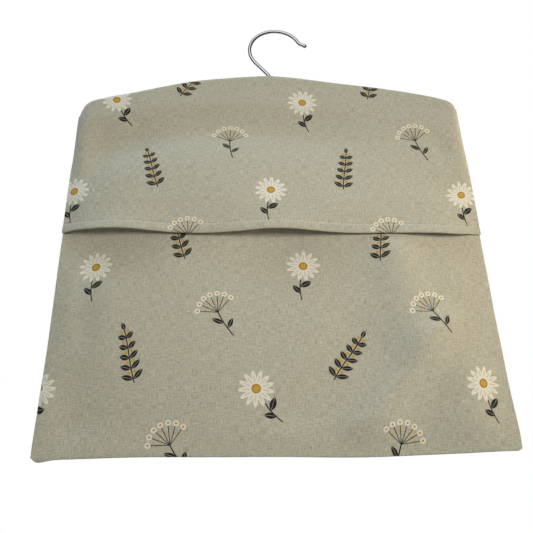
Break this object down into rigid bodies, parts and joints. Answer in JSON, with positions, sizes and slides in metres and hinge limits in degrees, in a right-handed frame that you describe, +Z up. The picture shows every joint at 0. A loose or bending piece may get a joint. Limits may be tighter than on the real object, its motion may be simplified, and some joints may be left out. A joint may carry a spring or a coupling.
{
  "type": "peg bag",
  "caption": "Cloth peg bag sewn round a shaped wooden hanger, with a swivelling wire hook and an overhanging front flap that lifts to reach the pouch.",
  "frame": {"origin": "inside top of the hook, on the hook's swivel axis, where a washing line or rail bears", "axes": "+Z up as the bag hangs, -Y out of the front of the bag, +X to the right seen from the front"},
  "size_m": [0.38, 0.0275, 0.4408],
  "materials": {
    "cloth": "matt printed cotton",
    "thread": "matt cotton thread",
    "beech": "clear lacquer",
    "chrome": "polished"
  },
  "bodies": {
    "hook": {"hook": "chrome", "hook_washer": "chrome"},
    "bag": {"hanger_bar": "beech", "back_panel": "cloth", "front_yoke": "cloth", "front_pouch": "cloth", "left_side_seam": "cloth", "right_side_seam": "cloth", "bottom_seam": "cloth", "left_shoulder_seam": "cloth", "right_shoulder_seam": "cloth", "pouch_hem_stitching": "thread"},
    "flap": {"front_flap": "cloth", "flap_hem_stitching": "thread"}
  },
  "joints": [
    {"name": "hook_swivel", "type": "hinge", "parent": "hook", "child": "bag", "pos_m": [0, 0, -0.07], "axis": [0, 0, 1], "continuous": true},
    {"name": "flap_lift", "type": "hinge", "parent": "bag", "child": "flap", "pos_m": [0, -0.0098, -0.1412], "axis": [-1, 0, 0], "range_deg": [0, 35]}
  ]
}
